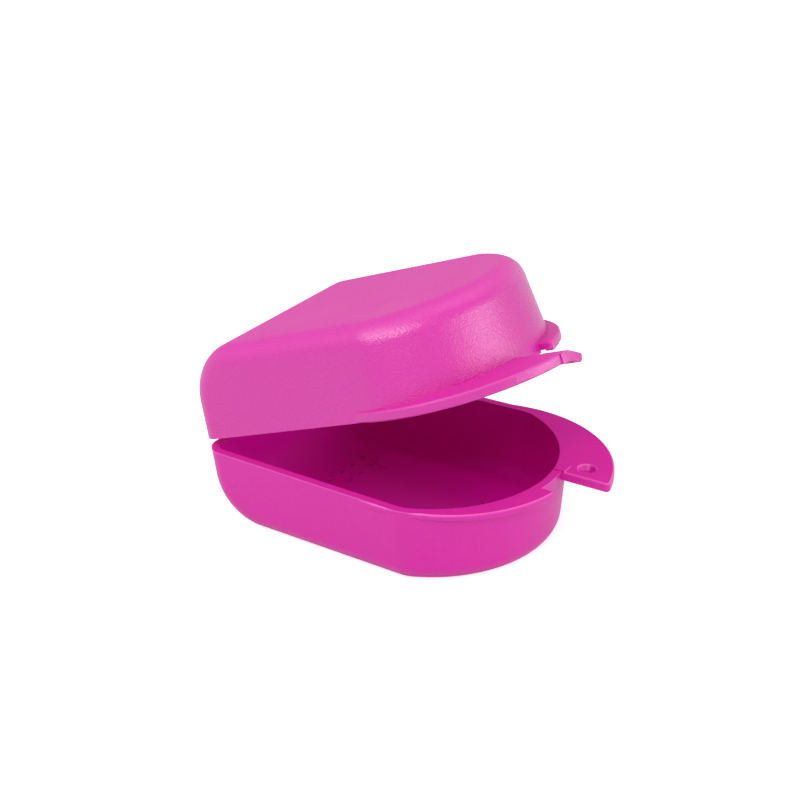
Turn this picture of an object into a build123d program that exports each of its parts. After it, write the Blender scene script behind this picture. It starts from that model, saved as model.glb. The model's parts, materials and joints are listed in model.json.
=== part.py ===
from build123d import *
from math import cos, radians, sin, tan
import os

# Hinged case for a dental retainer: two moulded half shells on a pinned barrel hinge.
# Millimetres. X runs across, +Y to the hinge, +Z up.
# The origin is the middle of the flat underside. The lid is modelled ajar.

# Plan of the walls at the rim
BODY_LENGTH = 87.0      # rear of the rim to the front of the rim
BODY_WIDTH = 68.0       # across the two creases, the widest place
REAR_WIDTH = 64.8       # across the rear of the rim
FRONT_LENGTH = 24.3     # front of the rim back to the crease in each side wall
CREASE_RADIUS = 10.0    # outside, in plan

# Shells
BASE_DEPTH = 21.4
LID_DEPTH = 23.4
DRAFT = 5.0             # degrees, every wall leans in from the rim
WALL = 2.2
FLOOR = 2.0
BASE_REAR_RADIUS = 14.7
LID_REAR_RADIUS = 15.1
BASE_EDGE_RADIUS = 5.3
LID_EDGE_RADIUS = 6.2
INNER_EDGE_RADIUS = 3.0
SEAM = 0.1              # between the two rims when the lid is shut

# Wide brim, on the right of the base and on the left of the lid
BRIM_REACH = 2.3            # plan radius beyond half the width of the body
BRIM_CENTRE_BACK = 22.3     # front of the rim back to the arc's centre
BRIM_CENTRE_OFFSET = 1.1    # beyond the middle, away from the brim
BASE_BRIM_END = 5.7         # middle to the straight end of the brim
LID_BRIM_END = 4.9
BASE_BRIM_THICKNESS = 2.6
LID_BRIM_THICKNESS = 2.7
BRIM_CORNER_RADIUS = 1.0    # plan radius where the end meets the arc
BRIM_CHAMFER = 0.4          # of the upper and lower edges

# Narrow lip, on the other half of each shell
LIP_STEP = 2.1              # plan radius less than the brim's
LIP_CENTRE_BACK = 30.5
BASE_LIP_END = 4.5
LID_LIP_END = 5.9
BASE_LIP_THICKNESS = 1.8
LID_LIP_THICKNESS = 2.4

# Tongue: the end of the lid's wide brim, turned down
TONGUE_LENGTH = 5.6         # of its upper side, from the end of the brim
TONGUE_SLOPE = 29.0         # degrees down
TONGUE_THICKNESS = 2.3
TONGUE_TIP_RADIUS = 0.8
TONGUE_REAR_AHEAD = 6.9     # front of the rim to the tongue's inner side
TONGUE_REACH = 0.5          # of its outer end, beyond the brim's arc

# Catch: a low pip on the base, a pocket in the lid, a ramp in the wall beside the pip
PIP_LENGTH = 3.7
PIP_WIDTH = 2.7
PIP_HEIGHT = 0.35
PIP_REAR_BACK = 2.2         # front of the rim back to the pip's inner side
PIP_CLEARANCE = 0.15
RAMP_LENGTH = 3.6           # down to the underside of the brim
RAMP_SKIN = 0.4             # of the wall, left standing behind the ramp

# Lanyard hole in the base's brim
LANYARD_HOLE_D = 3.0
LANYARD_SINK_D = 5.2
LANYARD_ACROSS = 10.7
LANYARD_AHEAD = 4.5

# Floor: two staggered rows of vents and four round pads
VENT_D = 1.7
VENT_PITCH = 5.45
VENT_COUNT = 7              # in the rear row, the front row has one less
VENT_FORWARD = 17.5
PAD_D = 11.6
PAD_HEIGHT = 0.5
REAR_PAD_ACROSS = 19.7
REAR_PAD_FORWARD = 26.5
FRONT_PAD_ACROSS = 15.2
FRONT_PAD_BACK = 22.5

# Hinge
HINGE_BACK = 5.5            # rear of the rim to the pin
HINGE_DROP = 1.9            # rim of the base down to the pin
HINGE_WIDTH = 38.0
KNUCKLE_COUNT = 5           # odd: the base has both ends
KNUCKLE_D = 5.0
KNUCKLE_GAP = 0.3
ARM_HEIGHT = 6.5            # of a knuckle's root on the wall
ARM_START = 2.0             # rim to the near end of that root
PIN_D = 2.0
PIN_RECESS = 0.5
RUNNING_CLEARANCE = 0.05    # radial, pin in the lid's knuckles
LID_OPEN = 20.3             # degrees ajar

# Worked out from the sizes above
REAR_Y = BODY_LENGTH / 2
FRONT_Y = REAR_Y - BODY_LENGTH
CREASE_Y = FRONT_Y + FRONT_LENGTH
OUTSIDE = BODY_LENGTH + BODY_WIDTH      # clears the whole case
FRONT_RADIUS = ((BODY_WIDTH / 2) ** 2 + FRONT_LENGTH ** 2) / (2 * FRONT_LENGTH)
ARC_Y = FRONT_Y + FRONT_RADIUS
FLARE = (BODY_WIDTH - REAR_WIDTH) / 2 / (REAR_Y - CREASE_Y)
LEAN = tan(radians(DRAFT))
HINGE_Y = REAR_Y + HINGE_BACK
HINGE_Z = BASE_DEPTH - HINGE_DROP
KNUCKLE_PITCH = (HINGE_WIDTH + KNUCKLE_GAP) / KNUCKLE_COUNT
BRIM_RADIUS = BODY_WIDTH / 2 + BRIM_REACH
LIP_RADIUS = BRIM_RADIUS - LIP_STEP

# Each shell has a rim plane: its normal leaves the mouth, its y runs to the hinge.
# The lid's is the base's turned over about Y, then swung open about the pin.
OPEN = radians(LID_OPEN)
LID_DROP = HINGE_DROP + SEAM
BASE_RIM = Plane.XY.offset(BASE_DEPTH)
LID_RIM = Plane(
    origin=(0, HINGE_Y - HINGE_Y * cos(OPEN) + LID_DROP * sin(OPEN),
            HINGE_Z + HINGE_Y * sin(OPEN) + LID_DROP * cos(OPEN)),
    x_dir=(-1, 0, 0), z_dir=(0, -sin(OPEN), -cos(OPEN)))


def side_plane(rim):
    """Plane across the case: x to the hinge, y out of the mouth, normal across."""
    return Plane(origin=rim.origin, x_dir=rim.y_dir, z_dir=rim.x_dir)


def round_front(depth, inset):
    """All that lies behind the round front: a drafted cone, and a block to its rear."""
    radius = FRONT_RADIUS - inset
    with BuildPart() as front:
        with BuildSketch(Plane.YZ):
            with BuildLine():
                Polyline((ARC_Y, depth), (ARC_Y - radius - LEAN * depth, depth),
                         (ARC_Y - radius + 2 * LEAN * depth, -2 * depth), (ARC_Y, -2 * depth), close=True)
            make_face()
        revolve(axis=Axis((0, ARC_Y, 0), (0, 0, 1)))
        with Locations((0, ARC_Y, 0)):
            Box(OUTSIDE, OUTSIDE, 4 * depth, align=(Align.CENTER, Align.MIN, Align.CENTER))
    return front.part


def tub(rim, depth, inset, rear_radius, edge_radius):
    """A solid tub behind the rim: straight back, flaring sides, soft creases, round front, drafted."""
    with BuildPart() as body:
        with BuildSketch(Plane.YZ):
            top = REAR_Y - inset
            with BuildLine():
                Polyline((-OUTSIDE, 0), (top, 0), (top - LEAN * depth, -depth), (-OUTSIDE, -depth),
                         close=True)
            make_face()
            heel = vertices().group_by(Axis.Y)[0].sort_by(Axis.X)[-1]
            fillet(heel, radius=rear_radius)
        extrude(amount=OUTSIDE, both=True)
        for side in (-1, 1):
            wall = Plane(origin=(side * (BODY_WIDTH / 2 - inset), CREASE_Y, 0), z_dir=(side, FLARE, -LEAN))
            split(bisect_by=wall, keep=Keep.BOTTOM)
        add(round_front(depth, inset), mode=Mode.INTERSECT)
        curved = edges().filter_by(lambda e: e.geom_type not in (GeomType.LINE, GeomType.CIRCLE))
        fillet(curved.sort_by(Axis.Y)[:2], radius=CREASE_RADIUS - inset)
        floor_heel_and_back = faces().sort_by(Axis.Z)[:1] + faces().sort_by(Axis.Y)[-2:]
        fillet(floor_heel_and_back.edges().filter_by(Axis.X, reverse=True), radius=edge_radius)
    return body.part.moved(rim.location)


def flange(rim, radius, centre_across, centre_back, end, thickness, side):
    """A brim or lip on one side (1 right, -1 left): a wide arc with a straight end, edges eased."""
    with BuildPart() as wing:
        with BuildSketch():
            with Locations((-side * centre_across, FRONT_Y + centre_back)):
                Circle(radius)
            rear = FRONT_Y + centre_back + radius / 4
            with Locations((side * end, rear)):
                corner = (Align.MIN if side > 0 else Align.MAX, Align.MAX)
                Rectangle(OUTSIDE, OUTSIDE, align=corner, mode=Mode.INTERSECT)
            fillet(vertices().sort_by(Axis.Y)[0], radius=BRIM_CORNER_RADIUS)
        extrude(amount=-thickness)
        chamfer(edges().filter_by(Axis.Z, reverse=True) - edges().filter_by(Axis.X), length=BRIM_CHAMFER)
    return wing.part.moved(rim.location)


def knuckles(rim, drop, slots):
    """Barrels round the pin, each on an arm that widens to its root in the rear wall."""
    with BuildPart() as row:
        for slot in slots:
            with BuildSketch(side_plane(rim).offset(slot * KNUCKLE_PITCH - HINGE_WIDTH / 2)):
                with Locations((HINGE_Y, drop)):
                    Circle(KNUCKLE_D / 2)
                with BuildLine():
                    root_y = REAR_Y - WALL / 2
                    near, far = ARM_START, ARM_START + ARM_HEIGHT
                    Line((root_y - LEAN * near, -near), (root_y - LEAN * far, -far))
                make_hull()
            extrude(amount=KNUCKLE_PITCH - KNUCKLE_GAP)
    return row.part


def pin_bore(rim, drop, diameter):
    """The hole for the pin, right through a row of knuckles."""
    with BuildPart() as bore:
        with BuildSketch(side_plane(rim)):
            with Locations((HINGE_Y, drop)):
                Circle(diameter / 2)
        extrude(amount=HINGE_WIDTH, both=True)
    return bore.part


# Base: the lower shell
with BuildPart() as base_shell:
    add(tub(BASE_RIM, BASE_DEPTH, 0, BASE_REAR_RADIUS, BASE_EDGE_RADIUS))
    add(flange(BASE_RIM, BRIM_RADIUS, BRIM_CENTRE_OFFSET, BRIM_CENTRE_BACK, BASE_BRIM_END,
               BASE_BRIM_THICKNESS, 1))
    add(flange(BASE_RIM, LIP_RADIUS, 0, LIP_CENTRE_BACK, BASE_LIP_END, BASE_LIP_THICKNESS, -1))
    add(knuckles(BASE_RIM, -HINGE_DROP, range(0, KNUCKLE_COUNT, 2)))
    add(tub(BASE_RIM, BASE_DEPTH - FLOOR, WALL, BASE_REAR_RADIUS - WALL, INNER_EDGE_RADIUS),
        mode=Mode.SUBTRACT)
    add(pin_bore(BASE_RIM, -HINGE_DROP, PIN_D), mode=Mode.SUBTRACT)

    # Catch pip beside the end of the brim
    with BuildSketch(BASE_RIM.offset(-PIP_HEIGHT)):
        with Locations((BASE_BRIM_END, FRONT_Y + PIP_REAR_BACK)):
            Rectangle(PIP_LENGTH, PIP_WIDTH, align=(Align.MIN, Align.MAX))
    extrude(amount=2 * PIP_HEIGHT)

    # Ramp down the top of the wall to that end, in front of a thin skin
    ramp_plane = Plane(origin=(BASE_BRIM_END, FRONT_Y + WALL - RAMP_SKIN, BASE_DEPTH), z_dir=(0, -1, 0))
    with BuildSketch(ramp_plane):
        with BuildLine():
            Polyline((-RAMP_LENGTH, 0), (0, 0), (0, -BASE_BRIM_THICKNESS), close=True)
        make_face()
    extrude(amount=FRONT_LENGTH, mode=Mode.SUBTRACT)

    # Lanyard hole through the brim
    with Locations(Plane(origin=(LANYARD_ACROSS, FRONT_Y - LANYARD_AHEAD, BASE_DEPTH))):
        CounterSinkHole(LANYARD_HOLE_D / 2, LANYARD_SINK_D / 2, depth=2 * BASE_BRIM_THICKNESS)

    # Round pads and vents in the floor
    with BuildSketch(Plane.XY.offset(FLOOR)):
        rear_y, front_y = REAR_Y - REAR_PAD_FORWARD, FRONT_Y + FRONT_PAD_BACK
        with Locations((-REAR_PAD_ACROSS, rear_y), (REAR_PAD_ACROSS, rear_y),
                       (-FRONT_PAD_ACROSS, front_y), (FRONT_PAD_ACROSS, front_y)):
            Circle(PAD_D / 2)
    extrude(amount=PAD_HEIGHT)
    with BuildSketch():
        for row in range(2):
            with Locations((0, REAR_Y - VENT_FORWARD - row * VENT_PITCH * sin(radians(60)))):
                with GridLocations(VENT_PITCH, 0, VENT_COUNT - row, 1):
                    Circle(VENT_D / 2)
    extrude(amount=2 * FLOOR, mode=Mode.SUBTRACT)

# Tongue of the lid: the outer end of its wide brim, bent down past the base's lip
front_plane = Plane(origin=LID_RIM.origin, x_dir=LID_RIM.x_dir, z_dir=-LID_RIM.y_dir)
with BuildPart() as tongue:
    with BuildSketch(front_plane.offset(TONGUE_REAR_AHEAD - FRONT_Y)):
        slope = radians(TONGUE_SLOPE)
        top = Vector(LID_BRIM_END, -LID_BRIM_THICKNESS)
        tip = top + Vector(-cos(slope), sin(slope)) * TONGUE_LENGTH
        lower_tip = tip + Vector(sin(slope), cos(slope)) * TONGUE_THICKNESS
        crook = lower_tip + Vector(cos(slope), -sin(slope)) * (lower_tip.Y / sin(slope))
        with BuildLine():
            Polyline(top, tip, lower_tip, crook, (crook.X + LID_BRIM_THICKNESS, 0),
                     (crook.X + LID_BRIM_THICKNESS, -LID_BRIM_THICKNESS), close=True)
        make_face()
        fillet(vertices().sort_by(Axis.X)[:2], radius=TONGUE_TIP_RADIUS)
    extrude(amount=OUTSIDE)
    with BuildSketch(LID_RIM):
        with Locations((-BRIM_CENTRE_OFFSET, FRONT_Y + BRIM_CENTRE_BACK)):
            Circle(BRIM_RADIUS + TONGUE_REACH)
    extrude(amount=OUTSIDE, both=True, mode=Mode.INTERSECT)

# Lid: the upper shell, the base's form turned over
with BuildPart() as lid_shell:
    add(tub(LID_RIM, LID_DEPTH, 0, LID_REAR_RADIUS, LID_EDGE_RADIUS))
    add(flange(LID_RIM, BRIM_RADIUS, BRIM_CENTRE_OFFSET, BRIM_CENTRE_BACK, LID_BRIM_END,
               LID_BRIM_THICKNESS, 1))
    add(flange(LID_RIM, LIP_RADIUS, 0, LIP_CENTRE_BACK, LID_LIP_END, LID_LIP_THICKNESS, -1))
    add(tongue.part)
    add(knuckles(LID_RIM, LID_DROP, range(1, KNUCKLE_COUNT, 2)))
    add(tub(LID_RIM, LID_DEPTH - FLOOR, WALL, LID_REAR_RADIUS - WALL, LID_EDGE_RADIUS - WALL),
        mode=Mode.SUBTRACT)
    add(pin_bore(LID_RIM, LID_DROP, PIN_D + 2 * RUNNING_CLEARANCE), mode=Mode.SUBTRACT)

    # Pocket that drops over the pip
    with BuildSketch(LID_RIM):
        with Locations((-BASE_BRIM_END + PIP_CLEARANCE, FRONT_Y + PIP_REAR_BACK + PIP_CLEARANCE)):
            Rectangle(PIP_LENGTH + 2 * PIP_CLEARANCE, PIP_WIDTH + 2 * PIP_CLEARANCE,
                      align=(Align.MAX, Align.MAX))
    extrude(amount=-PIP_HEIGHT - PIP_CLEARANCE, mode=Mode.SUBTRACT)

# Pin through all the knuckles
with BuildPart() as hinge_pin:
    with BuildSketch(side_plane(BASE_RIM)):
        with Locations((HINGE_Y, -HINGE_DROP)):
            Circle(PIN_D / 2)
    extrude(amount=HINGE_WIDTH / 2 - PIN_RECESS, both=True)

base_shell.part.label = "base_shell"
lid_shell.part.label = "lid_shell"
hinge_pin.part.label = "hinge_pin"

os.makedirs("parts", exist_ok=True)
export_step(base_shell.part, "parts/base_shell.step")
export_step(lid_shell.part, "parts/lid_shell.step")
export_step(hinge_pin.part, "parts/hinge_pin.step")
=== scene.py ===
import json
import logging
import math
from dataclasses import dataclass, field
from enum import Enum

import bpy
from mathutils import Matrix, Vector


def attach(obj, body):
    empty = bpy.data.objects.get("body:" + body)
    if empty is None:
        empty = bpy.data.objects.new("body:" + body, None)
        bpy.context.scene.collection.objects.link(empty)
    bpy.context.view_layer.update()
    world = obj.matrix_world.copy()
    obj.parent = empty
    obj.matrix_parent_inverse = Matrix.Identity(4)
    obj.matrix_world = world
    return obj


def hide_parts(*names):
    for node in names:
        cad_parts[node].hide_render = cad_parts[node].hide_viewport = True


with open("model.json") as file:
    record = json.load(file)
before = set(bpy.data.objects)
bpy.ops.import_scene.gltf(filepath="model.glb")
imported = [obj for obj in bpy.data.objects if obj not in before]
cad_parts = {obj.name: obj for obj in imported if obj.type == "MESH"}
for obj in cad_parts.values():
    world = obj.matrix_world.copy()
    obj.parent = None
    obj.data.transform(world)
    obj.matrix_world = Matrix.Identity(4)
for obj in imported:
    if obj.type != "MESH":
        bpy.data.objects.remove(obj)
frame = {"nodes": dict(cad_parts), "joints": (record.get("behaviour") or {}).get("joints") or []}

# A hinged plastic case for a dental retainer, standing ajar on a pale table.
# Metres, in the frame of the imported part: +Z up, the hinge at +Y, the mouth at -Y.

Colour = tuple[float, float, float, float]

log = logging.getLogger("retainer_case")

MM = 0.001
UP = (0.0, 0.0, 1.0)
DOWN = (0.0, 0.0, -1.0)
RIM_LEVEL = 21.4 * MM           # both rims, with the case shut
POLYPROPYLENE_IOR = 1.49

# Sockets of the Mix node's colour side
MIX_FACTOR, MIX_FIRST, MIX_SECOND, MIX_RESULT = 0, 6, 7, 2

WHITE: Colour = (1.0, 1.0, 1.0, 1.0)
# The lid and the base are one plastic. The two copies differ only as painted light: the base's is painted
# lighter and the lid's darker, to even out how the lamps fall on each.
RESIN: Colour = (0.668, 0.003, 0.356, 1.0)
RESIN_BASE_PAINTED_LIGHTER: Colour = (0.735, 0.004, 0.390, 1.0)
RESIN_PALE: Colour = (0.76, 0.020, 0.42, 1.0)
# Paint for painted highlights: the band along the base's rim and the eased corners.
RESIN_PAINTED_HIGHLIGHT: Colour = (0.88, 0.13, 0.52, 1.0)
# Rim tops: a paler, greener colour with almost no specular. This is a painted sheen in place of reflection.
RESIN_RIM_PAINTED_SHEEN: Colour = (0.79, 0.026, 0.41, 1.0)
RESIN_DEEP: Colour = (0.71, 0.003, 0.38, 1.0)


class Zone(Enum):
    """Faces of a moulded shell that differ in finish. The value is the material slot."""

    GRAINED = 0
    SMOOTH = 1
    # Eased corners, painted paler: a painted edge highlight.
    CORNER = 2
    # Rim tops, finished with a painted sheen.
    RIM = 3


class GroupName(Enum):
    """Shader node groups that several finishes share."""

    GRAIN = "Spark grain"
    DRIFT = "Resin drift"
    RUB = "Handling rub"


class Socket(Enum):
    """Kinds of socket on a node group."""

    NUMBER = "NodeSocketFloat"
    VECTOR = "NodeSocketVector"


@dataclass
class NodeBench:
    """Places nodes in one node tree and wires them.

    Args:
        tree: The tree that gets the nodes.
    """

    tree: bpy.types.NodeTree
    column: int = 0
    column_step: int = 190
    row_step: int = 170
    rows: int = 3

    def add(self, kind: str, **settings: object) -> bpy.types.Node:
        """Adds a node.

        Args:
            kind: Node type name.
            **settings: Attributes of the node, set as given.

        Returns:
            The new node.
        """
        node = self.tree.nodes.new(kind)
        for key, value in settings.items():
            setattr(node, key, value)
        node.location = (self.column * self.column_step, -(self.column % self.rows) * self.row_step)
        self.column += 1
        return node

    def put(self, node: bpy.types.Node, name: str | int, value: object) -> None:
        """Sets one input, or wires it when the value is a socket.

        Args:
            node: Node whose input it is.
            name: Name or number of the input.
            value: Constant, or the output socket to wire.
        """
        if isinstance(value, bpy.types.NodeSocket):
            self.tree.links.new(value, node.inputs[name])
        else:
            node.inputs[name].default_value = value

    def math(self, operation: str, *values: object, clamp: bool = False) -> bpy.types.NodeSocket:
        """Adds a Math node.

        Args:
            operation: What it does.
            *values: Its inputs in order, constants or sockets.
            clamp: Whether the result is held within 0 and 1.

        Returns:
            The result socket.
        """
        node = self.add("ShaderNodeMath", operation=operation, use_clamp=clamp)
        for number, value in enumerate(values):
            self.put(node, number, value)
        return node.outputs[0]

    def span(
        self, value: object, low: float, high: float, start: float, end: float
    ) -> bpy.types.NodeSocket:
        """Maps a value from one range to another, clamped.

        Args:
            value: Socket to map.
            low: Value that becomes start.
            high: Value that becomes end.
            start: Result at low.
            end: Result at high.

        Returns:
            The result socket.
        """
        node = self.add("ShaderNodeMapRange", clamp=True)
        for name, number in zip(("From Min", "From Max", "To Min", "To Max"), (low, high, start, end)):
            self.put(node, name, number)
        self.put(node, "Value", value)
        return node.outputs["Result"]

    def noise(
        self, vector: object, scale: object, detail: float, roughness: float = 0.5
    ) -> bpy.types.NodeSocket:
        """Adds a noise texture.

        Args:
            vector: Socket with the place.
            scale: Cells a metre, constant or socket.
            detail: Octaves.
            roughness: Weight of the finer octaves.

        Returns:
            The value socket.
        """
        node = self.add("ShaderNodeTexNoise", noise_dimensions="3D")
        self.put(node, "Vector", vector)
        self.put(node, "Scale", scale)
        self.put(node, "Detail", detail)
        self.put(node, "Roughness", roughness)
        return node.outputs[0]

    def blend(self, factor: object, first: object, second: object) -> bpy.types.NodeSocket:
        """Mixes two colours.

        Args:
            factor: Share of the second colour.
            first: Colour or socket.
            second: Colour or socket.

        Returns:
            The colour socket.
        """
        node = self.add("ShaderNodeMix", data_type="RGBA", blend_type="MIX")
        self.put(node, MIX_FACTOR, factor)
        self.put(node, MIX_FIRST, first)
        self.put(node, MIX_SECOND, second)
        return node.outputs[MIX_RESULT]


@dataclass
class SharedEffects:
    """The node groups that the finishes place with their own values.

    Shares weigh the parts of a pattern, counts are per metre, and octaves are the noise's detail.
    """

    groups: dict[GroupName, bpy.types.NodeTree] = field(default_factory=dict)
    pits_per_metre: float = 2600.0
    pit_softness: float = 0.5
    fine_per_pit: float = 1.9
    fine_octaves: float = 3.0
    fine_roughness: float = 0.6
    pit_share: float = 0.7
    fine_share: float = 0.5
    glint_range: tuple[float, float] = (0.56, 0.68)
    clouds_per_metre: float = 28.0
    cloud_octaves: float = 2.0
    cloud_share: float = 0.7
    streaks_per_cloud: float = 9.0
    streak_octaves: float = 3.0
    streak_share: float = 0.3
    streak_stretch: tuple[float, float, float] = (1.0, 0.22, 1.0)
    tone_range: tuple[float, float] = (0.3, 0.7)
    scratches_per_metre: float = 900.0
    scratch_turn: tuple[float, float, float] = (0.3, 0.5, 0.9)
    scratch_stretch: tuple[float, float, float] = (1.0, 0.04, 1.0)
    scratch_width: float = 0.012
    scratch_strength: float = 0.25
    scratch_patches: float = 60.0
    scratch_patch_octaves: float = 2.0
    scratch_patch_range: tuple[float, float] = (0.52, 0.64)
    polish_patches: float = 45.0
    polish_octaves: float = 3.0
    polish_range: tuple[float, float] = (0.4, 0.7)

    def build(self) -> None:
        """Builds each group once."""
        self.groups[GroupName.GRAIN] = self._grain()
        self.groups[GroupName.DRIFT] = self._drift()
        self.groups[GroupName.RUB] = self._rub()

    def _start(
        self, name: GroupName, inputs: dict[str, tuple[Socket, object]], outputs: dict[str, Socket]
    ) -> tuple[NodeBench, bpy.types.Node, bpy.types.Node]:
        """Makes an empty group with its sockets.

        Args:
            name: Which group.
            inputs: Input names with their kind and default.
            outputs: Output names with their kind.

        Returns:
            A bench on the group, its input node and its output node.
        """
        tree = bpy.data.node_groups.new(name.value, "ShaderNodeTree")
        for label, (kind, default) in inputs.items():
            socket = tree.interface.new_socket(label, in_out="INPUT", socket_type=kind.value)
            if default is not None:
                socket.default_value = default
        for label, kind in outputs.items():
            tree.interface.new_socket(label, in_out="OUTPUT", socket_type=kind.value)
        bench = NodeBench(tree)
        return bench, bench.add("NodeGroupInput"), bench.add("NodeGroupOutput")

    def _grain(self) -> bpy.types.NodeTree:
        """The fine pitted texture that a spark-eroded mould leaves.

        Returns:
            A group with Height from 0 to 1, and Glint, a mask of the few crests that catch the light.
        """
        bench, given, made = self._start(
            GroupName.GRAIN,
            {
                "Vector": (Socket.VECTOR, None),
                "Pits per metre": (Socket.NUMBER, self.pits_per_metre),
                "Softness": (Socket.NUMBER, self.pit_softness),
            },
            {"Height": Socket.NUMBER, "Glint": Socket.NUMBER},
        )
        place, pits = given.outputs["Vector"], given.outputs["Pits per metre"]
        cells = bench.add("ShaderNodeTexVoronoi", feature="SMOOTH_F1")
        bench.put(cells, "Vector", place)
        bench.put(cells, "Scale", pits)
        bench.put(cells, "Smoothness", given.outputs["Softness"])
        fine_count = bench.math("MULTIPLY", pits, self.fine_per_pit)
        fine = bench.noise(place, fine_count, self.fine_octaves, self.fine_roughness)
        pitted = bench.math("MULTIPLY", cells.outputs["Distance"], self.pit_share)
        bench.put(made, "Height", bench.math("ADD", pitted, bench.math("MULTIPLY", fine, self.fine_share),
                                             clamp=True))
        bench.put(made, "Glint", bench.span(fine, *self.glint_range, 0.0, 1.0))
        return bench.tree

    def _drift(self) -> bpy.types.NodeTree:
        """Slow change of tone through moulded resin, with faint flow streaks.

        Returns:
            A group with Tone from -1 to 1.
        """
        bench, given, made = self._start(
            GroupName.DRIFT,
            {"Vector": (Socket.VECTOR, None), "Clouds per metre": (Socket.NUMBER, self.clouds_per_metre)},
            {"Tone": Socket.NUMBER},
        )
        place, count = given.outputs["Vector"], given.outputs["Clouds per metre"]
        clouds = bench.noise(place, count, self.cloud_octaves)
        stretch = bench.add("ShaderNodeMapping")
        bench.put(stretch, "Vector", place)
        bench.put(stretch, "Scale", self.streak_stretch)
        streak_count = bench.math("MULTIPLY", count, self.streaks_per_cloud)
        streaks = bench.noise(stretch.outputs[0], streak_count, self.streak_octaves)
        both = bench.math("ADD", bench.math("MULTIPLY", clouds, self.cloud_share),
                          bench.math("MULTIPLY", streaks, self.streak_share))
        bench.put(made, "Tone", bench.span(both, *self.tone_range, -1.0, 1.0))
        return bench.tree

    def _rub(self) -> bpy.types.NodeTree:
        """Faint polish and hair scratches where hands and tables rub the plastic.

        Returns:
            A group with Polish and Scratch, both masks from 0 to 1.
        """
        bench, given, made = self._start(
            GroupName.RUB,
            {
                "Vector": (Socket.VECTOR, None),
                "Scratches per metre": (Socket.NUMBER, self.scratches_per_metre),
            },
            {"Polish": Socket.NUMBER, "Scratch": Socket.NUMBER},
        )
        place = given.outputs["Vector"]
        turned = bench.add("ShaderNodeMapping")
        bench.put(turned, "Vector", place)
        bench.put(turned, "Rotation", self.scratch_turn)
        bench.put(turned, "Scale", self.scratch_stretch)
        lines = bench.add("ShaderNodeTexVoronoi", feature="DISTANCE_TO_EDGE")
        bench.put(lines, "Vector", turned.outputs[0])
        bench.put(lines, "Scale", given.outputs["Scratches per metre"])
        hair = bench.span(lines.outputs["Distance"], 0.0, self.scratch_width, 1.0, 0.0)
        patches = bench.noise(place, self.scratch_patches, self.scratch_patch_octaves)
        where = bench.span(patches, *self.scratch_patch_range, 0.0, self.scratch_strength)
        bench.put(made, "Scratch", bench.math("MULTIPLY", hair, where))
        rubbed = bench.noise(place, self.polish_patches, self.polish_octaves)
        bench.put(made, "Polish", bench.span(rubbed, *self.polish_range, 0.0, 1.0))
        return bench.tree


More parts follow.
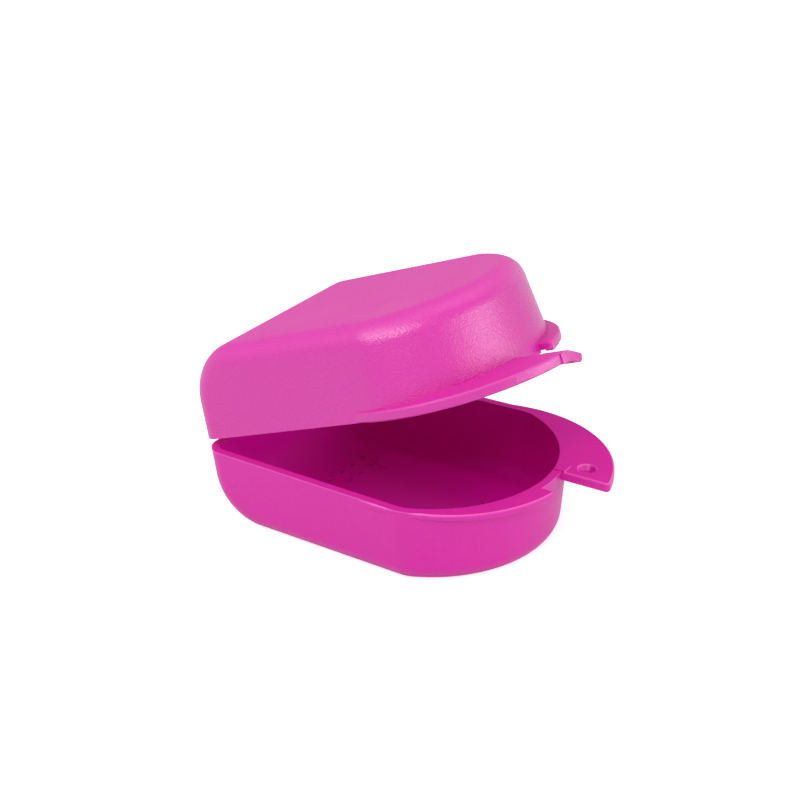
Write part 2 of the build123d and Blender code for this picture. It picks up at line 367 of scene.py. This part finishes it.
@dataclass(frozen=True)
class PlasticFinish:
    """One finish of moulded polypropylene.

    Sparkle polishes the grain's crests, and painted glint paints them paler, a painted highlight. Frost
    roughens the faces that look along frost_axis. From a little below a set height upward the resin is
    painted paler: a painted highlight along the rim.
    """

    name: str
    resin: Colour
    pale: Colour
    roughness: float
    grain_depth: float
    grain_per_metre: float = 2200.0
    painted_glint: float = 0.0
    sparkle: float = 0.0
    frost_axis: Vector = field(default_factory=lambda: Vector(UP))
    frost: float = 0.0
    frost_range: tuple[float, float] = (0.45, 0.92)
    scratch_depth: float = 0.35
    # Painted highlight along the rim: the height it reaches up from (1 m leaves it off), and the depth
    # below that height.
    painted_highlight_from: float = 1.0
    painted_highlight_depth: float = 0.4 * MM
    polish: float = 0.05
    drift: float = 0.04
    specular: float = 0.50

    def material(self, effects: SharedEffects) -> bpy.types.Material:
        """Builds the material.

        Args:
            effects: The shared node groups.

        Returns:
            The new material.
        """
        made = bpy.data.materials.new(self.name)
        made.use_nodes = True
        made.node_tree.nodes.clear()
        bench = NodeBench(made.node_tree)
        place = bench.add("ShaderNodeTexCoord").outputs["Object"]
        grain = bench.add("ShaderNodeGroup", node_tree=effects.groups[GroupName.GRAIN])
        drift = bench.add("ShaderNodeGroup", node_tree=effects.groups[GroupName.DRIFT])
        rub = bench.add("ShaderNodeGroup", node_tree=effects.groups[GroupName.RUB])
        for group in (grain, drift, rub):
            bench.put(group, "Vector", place)
        bench.put(grain, "Pits per metre", self.grain_per_metre)
        tone = bench.math("MULTIPLY_ADD", drift.outputs["Tone"], self.drift, self.drift, clamp=True)
        colour = bench.blend(tone, self.resin, self.pale)
        crests = grain.outputs["Glint"]
        # Painted glint: the grain's crests are painted paler, a painted highlight.
        colour = bench.blend(bench.math("MULTIPLY", crests, self.painted_glint), colour, self.pale)
        level = bench.add("ShaderNodeSeparateXYZ")
        bench.put(level, 0, place)
        # Painted highlight: from a little below the rim's height upward, the resin is painted paler.
        painted_rim_highlight = bench.span(level.outputs["Z"], self.painted_highlight_from - self.painted_highlight_depth, self.painted_highlight_from, 0.0, 1.0)
        colour = bench.blend(painted_rim_highlight, colour, RESIN_PAINTED_HIGHLIGHT)
        polished = bench.math("MULTIPLY", rub.outputs["Polish"], self.polish)
        roughness = bench.math("SUBTRACT", self.roughness, polished)
        roughness = bench.math("SUBTRACT", roughness, bench.math("MULTIPLY", crests, self.sparkle))
        facing = bench.add("ShaderNodeVectorMath", operation="DOT_PRODUCT")
        bench.put(facing, 0, bench.add("ShaderNodeTexCoord").outputs["Normal"])
        bench.put(facing, 1, self.frost_axis)
        frost = bench.span(facing.outputs["Value"], *self.frost_range, 0.0, self.frost)
        roughness = bench.math("ADD", roughness, frost)
        scratched = bench.math("MULTIPLY", rub.outputs["Scratch"], self.scratch_depth)
        height = bench.math("SUBTRACT", grain.outputs["Height"], scratched)
        bump = bench.add("ShaderNodeBump")
        bench.put(bump, "Strength", 1.0)
        bench.put(bump, "Distance", self.grain_depth)
        bench.put(bump, "Height", height)
        shader = bench.add("ShaderNodeBsdfPrincipled")
        bench.put(shader, "Base Color", colour)
        bench.put(shader, "Roughness", roughness)
        bench.put(shader, "Normal", bump.outputs[0])
        bench.put(shader, "IOR", POLYPROPYLENE_IOR)
        bench.put(shader, "Specular IOR Level", self.specular)
        output = bench.add("ShaderNodeOutputMaterial")
        bench.put(output, "Surface", shader.outputs[0])
        return made


def deselect_all() -> None:
    """Leaves edit mode and deselects every object."""
    if bpy.context.object is not None and bpy.context.object.mode != "OBJECT":
        bpy.ops.object.mode_set(mode="OBJECT")
    bpy.ops.object.select_all(action="DESELECT")


def make_active(piece: bpy.types.Object) -> None:
    """Selects one object alone and makes it active.

    Args:
        piece: The object.
    """
    deselect_all()
    piece.select_set(True)
    bpy.context.view_layer.objects.active = piece


@dataclass
class MouldedPiece:
    """A moulded piece whose form is the CAD node's, with its corners eased.

    The bevel's clamp holds the easing far below its full width on the shells.
    """

    node: str
    body: str
    slot: str
    title: str
    ease: float = 0.25 * MM
    ease_from: float = 32.0
    ease_steps: int = 2
    same_place: float = 0.001 * MM
    flat_within: float = 0.4
    smooth_below: float = 13.0

    def copy_of_node(self) -> bpy.types.Object:
        """Copies the CAD node's mesh into an object of its own.

        Returns:
            The copy, at the origin and parented to nothing.
        """
        mesh = frame["nodes"][self.node].data.copy()
        mesh.name = self.title
        mesh.materials.clear()
        piece = bpy.data.objects.new(self.title, mesh)
        bpy.context.scene.collection.objects.link(piece)
        return piece

    def heal(self, piece: bpy.types.Object) -> None:
        """Joins the loose triangles and dissolves the seams inside flat faces.

        Args:
            piece: The copy to heal.
        """
        make_active(piece)
        bpy.ops.mesh.customdata_custom_splitnormals_clear()
        bpy.ops.object.mode_set(mode="EDIT")
        bpy.ops.mesh.select_all(action="SELECT")
        bpy.ops.mesh.remove_doubles(threshold=self.same_place)
        bpy.ops.mesh.dissolve_limited(angle_limit=math.radians(self.flat_within))
        bpy.ops.object.mode_set(mode="OBJECT")

    def ease_corners(self, piece: bpy.types.Object) -> None:
        """Rounds the corners between faces and shades the rest smooth.

        Args:
            piece: The healed copy.
        """
        make_active(piece)
        bpy.ops.object.modifier_add(type="BEVEL")
        rounding = piece.modifiers[-1]
        rounding.width = self.ease
        rounding.segments = self.ease_steps
        rounding.limit_method = "ANGLE"
        rounding.angle_limit = math.radians(self.ease_from)
        rounding.use_clamp_overlap = True
        rounding.loop_slide = True
        rounding.material = Zone.CORNER.value
        bpy.ops.object.modifier_apply(modifier=rounding.name)
        bpy.ops.object.shade_smooth_by_angle(angle=math.radians(self.smooth_below))
        bpy.ops.object.modifier_add(type="WEIGHTED_NORMAL")
        weighting = piece.modifiers[-1]
        weighting.keep_sharp = True
        bpy.ops.object.modifier_apply(modifier=weighting.name)

    def dress(self, piece: bpy.types.Object, finishes: dict[Zone, bpy.types.Material]) -> None:
        """Gives the piece its finishes.

        Args:
            piece: The piece.
            finishes: Material for each zone.
        """
        for zone in Zone:
            piece.data.materials.append(finishes[zone])

    def build(self, finishes: dict[Zone, bpy.types.Material]) -> bpy.types.Object:
        """Builds, dresses and mounts the piece.

        Args:
            finishes: Material for each zone.

        Returns:
            The finished piece.
        """
        piece = self.copy_of_node()
        self.heal(piece)
        self.dress(piece, finishes)
        self.ease_corners(piece)
        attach(piece, self.body)
        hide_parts(self.node)
        log.info("%s: %d faces", self.title, len(piece.data.polygons))
        return piece


@dataclass
class HalfShell(MouldedPiece):
    """Base or lid: grained outside, smooth inside, with a finish of its own where the halves meet.

    The faces are told apart with the shell turned shut about the hinge.
    """

    open_turn: Matrix = field(default_factory=lambda: Matrix.Identity(3))
    hinge: Vector = field(default_factory=Vector)
    mouth_up: float = 1.0
    rim_front: float = -43.5 * MM
    square_on: float = 0.999
    flat_play: float = 0.2 * MM
    rim_level: float = RIM_LEVEL
    rim_play: float = 1.0 * MM

    def zone_of(self, normal: Vector, place: Vector) -> Zone:
        """Tells which mould surface a face comes off.

        Args:
            normal: Normal of the face, with the shell shut.
            place: Middle of the face, with the shell shut.

        Returns:
            The face's zone.
        """
        rise = normal.z * self.mouth_up
        outward = normal.x * place.x + normal.y * place.y > 0
        on_brims = place.y < self.rim_front - self.flat_play
        # Rim tops get the finish with the painted sheen.
        if rise > self.square_on and abs(place.z - self.rim_level) < self.rim_play:
            return Zone.RIM
        if rise > self.square_on or (rise > -self.square_on and not outward and not on_brims):
            return Zone.SMOOTH
        return Zone.GRAINED

    def dress(self, piece: bpy.types.Object, finishes: dict[Zone, bpy.types.Material]) -> None:
        """Gives each face the finish of its zone.

        Args:
            piece: The piece.
            finishes: Material for each zone.
        """
        super().dress(piece, finishes)
        shut = self.open_turn.transposed()
        for face in piece.data.polygons:
            place = shut @ (face.center - self.hinge) + self.hinge
            face.material_index = self.zone_of(shut @ face.normal, place).value


def compass(azimuth: float, elevation: float) -> Vector:
    """Direction from the case.

    Args:
        azimuth: Degrees round from the front (-Y) towards +X.
        elevation: Degrees above the table.

    Returns:
        The unit vector away from the case.
    """
    round_by, up_by = math.radians(azimuth), math.radians(elevation)
    return Vector((
        math.sin(round_by) * math.cos(up_by),
        -math.cos(round_by) * math.cos(up_by),
        math.sin(up_by),
    ))


@dataclass
class Lens:
    """The camera, at the photograph's angle."""

    place: Vector = field(default_factory=lambda: Vector((-0.33386, -0.21741, 0.22272)))
    azimuth: float = -56.65
    elevation: float = 25.43
    roll: float = -0.73
    focal: float = 75.3
    sensor: float = 36.0
    nearest: float = 0.01

    def build(self) -> None:
        """Makes the scene's camera."""
        bpy.ops.object.camera_add(location=self.place)
        camera = bpy.context.object
        camera.name = "Camera"
        camera.data.lens = self.focal
        camera.data.sensor_width = self.sensor
        camera.data.dof.use_dof = False
        camera.data.clip_start = self.nearest
        turn = (-compass(self.azimuth, self.elevation)).to_track_quat("-Z", "Y").to_matrix()
        spin = Matrix.Rotation(math.radians(self.roll), 3, "Z")
        camera.rotation_euler = (turn @ spin).to_euler()
        bpy.context.scene.camera = camera
        log.info("camera: %.1f mm lens", self.focal)


@dataclass
class Softbox:
    """A soft light aimed at the case from a compass direction."""

    name: str
    azimuth: float
    elevation: float
    distance: float
    width: float
    height: float
    watts: float
    aim: Vector = field(default_factory=lambda: Vector((0.0, 0.0, 0.03)))

    def build(self) -> None:
        """Makes the light."""
        away = compass(self.azimuth, self.elevation)
        bpy.ops.object.light_add(type="AREA", location=self.aim + away * self.distance)
        lamp = bpy.context.object
        lamp.name = self.name
        lamp.data.shape = "RECTANGLE"
        lamp.data.size = self.width
        lamp.data.size_y = self.height
        lamp.data.energy = self.watts
        lamp.rotation_euler = (-away).to_track_quat("-Z", "Y").to_euler()


@dataclass
class Studio:
    """Pale table, lights and air round the case.

    Softboxes give their azimuth, elevation, distance, width, height and watts.
    """

    table_half: float = 1.6
    floor_colour: Colour = (0.70, 0.70, 0.70, 1.0)
    lift: float = 0.74
    mirrored_lift: float = 0.34
    sky: float = 0.43
    softboxes: tuple[Softbox, ...] = (
        Softbox("Key", -122.0, 48.0, 0.9, 0.60, 0.45, 2.6),
        Softbox("Left fill", -73.0, 40.0, 0.9, 0.30, 0.24, 2.2),
        Softbox("Front fill", 12.0, 12.0, 0.8, 0.50, 0.28, 2.0),
        Softbox("Overhead", 73.0, 72.0, 1.0, 0.5, 0.5, 1.6),
    )

    def _floor_material(self) -> bpy.types.Material:
        """White to the camera and in reflections, and it keeps the case's shadow.

        Returns:
            The new material.
        """
        made = bpy.data.materials.new("Pale table")
        made.use_nodes = True
        made.node_tree.nodes.clear()
        bench = NodeBench(made.node_tree)
        path = bench.add("ShaderNodeLightPath")
        mirrored = bench.math("MAXIMUM", path.outputs["Is Glossy Ray"], path.outputs["Is Transmission Ray"])
        seen_lift = bench.math("MULTIPLY", path.outputs["Is Camera Ray"], self.lift)
        lift = bench.math("MAXIMUM", seen_lift, bench.math("MULTIPLY", mirrored, self.mirrored_lift))
        paint = bench.add("ShaderNodeBsdfDiffuse")
        bench.put(paint, "Color", self.floor_colour)
        glow = bench.add("ShaderNodeEmission")
        bench.put(glow, "Color", WHITE)
        bench.put(glow, "Strength", lift)
        both = bench.add("ShaderNodeAddShader")
        bench.put(both, 0, paint.outputs[0])
        bench.put(both, 1, glow.outputs[0])
        output = bench.add("ShaderNodeOutputMaterial")
        bench.put(output, "Surface", both.outputs[0])
        return made

    def _world(self) -> None:
        """Plain bright air: white where it is seen, a soft fill elsewhere."""
        world = bpy.data.worlds.new("Studio air")
        bpy.context.scene.world = world
        world.use_nodes = True
        world.node_tree.nodes.clear()
        bench = NodeBench(world.node_tree)
        path = bench.add("ShaderNodeLightPath")
        seen = bench.math("MAXIMUM", path.outputs["Is Camera Ray"], path.outputs["Is Glossy Ray"])
        seen = bench.math("MAXIMUM", seen, path.outputs["Is Transmission Ray"])
        strength = bench.span(seen, 0.0, 1.0, self.sky, 1.0)
        air = bench.add("ShaderNodeBackground")
        bench.put(air, "Color", WHITE)
        bench.put(air, "Strength", strength)
        output = bench.add("ShaderNodeOutputWorld")
        bench.put(output, "Surface", air.outputs[0])

    def build(self) -> None:
        """Makes the table, the lights and the air."""
        bpy.context.scene.view_settings.view_transform = "Standard"
        deselect_all()
        bpy.ops.mesh.primitive_plane_add(size=2 * self.table_half, location=(0.0, 0.0, 0.0))
        table = bpy.context.object
        table.name = "Table"
        table.data.materials.append(self._floor_material())
        self._world()
        for softbox in self.softboxes:
            softbox.build()
        log.info("studio: %d lights", len(self.softboxes))


def lid_turn() -> tuple[Matrix, Vector]:
    """Finds how far the lid is turned open at rest.

    Returns:
        The turn from shut to where the lid is, and a point on the hinge's axis.
    """
    joint = frame["joints"][0]
    open_by = math.radians(-joint["range_deg"][0])
    return Matrix.Rotation(open_by, 3, Vector(joint["axis"])), Vector(joint["pos_m"])


def main() -> None:
    """Builds the case and the studio round it."""
    logging.basicConfig(level=logging.INFO, format="%(name)s %(message)s")
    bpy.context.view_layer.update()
    effects = SharedEffects()
    effects.build()
    turn, hinge = lid_turn()
    grained = {"pale": RESIN_PALE, "grain_depth": 0.085 * MM, "painted_glint": 0.30, "sparkle": 0.16, "frost": 0.30}
    # The base's grained finish uses the resin that is painted lighter, as painted light.
    base_grain = PlasticFinish(
        "Grained polypropylene, base", resin=RESIN_BASE_PAINTED_LIGHTER, roughness=0.40, specular=0.60,
        # The base's grained faces get the painted highlight along the rim.
        frost_axis=Vector(DOWN), painted_highlight_from=RIM_LEVEL, **grained)
    lid_grain = PlasticFinish(
        "Grained polypropylene, lid", resin=RESIN, roughness=0.33, specular=0.92,
        frost_axis=turn @ Vector(UP), **grained)
    smooth = PlasticFinish(
        "Smooth polypropylene", resin=RESIN_DEEP, pale=RESIN, roughness=0.42, grain_depth=0.006 * MM,
        polish=0.08, specular=0.07)
    # Eased corners: the pale colour is a painted edge highlight. The high specular and low roughness are
    # real.
    corner = PlasticFinish(
        "Polypropylene with painted edge highlight", resin=RESIN_PALE, pale=RESIN_PAINTED_HIGHLIGHT, roughness=0.32,
        grain_depth=0.01 * MM, polish=0.08, drift=0.6, specular=1.0)
    # The rim tops carry a painted sheen: a paler colour in place of a reflection, with specular near zero.
    rim = PlasticFinish(
        "Rim polypropylene with painted sheen", resin=RESIN_RIM_PAINTED_SHEEN, pale=RESIN_PALE, roughness=0.46, grain_depth=0.01 * MM,
        specular=0.02)
    shared = {
        Zone.SMOOTH: smooth.material(effects),
        Zone.CORNER: corner.material(effects),
        Zone.RIM: rim.material(effects),
    }
    base_finishes = {Zone.GRAINED: base_grain.material(effects), **shared}
    lid_finishes = {Zone.GRAINED: lid_grain.material(effects), **shared}
    HalfShell("base_shell", "base", "base_plastic", "base_moulding").build(base_finishes)
    HalfShell("lid_shell", "lid", "lid_plastic", "lid_moulding", open_turn=turn, hinge=hinge,
              mouth_up=-1.0).build(lid_finishes)
    MouldedPiece("hinge_pin", "base", "pin_plastic", "pin_moulding").build(base_finishes)
    Studio().build()
    Lens().build()


if __name__ == "__main__":
    main()
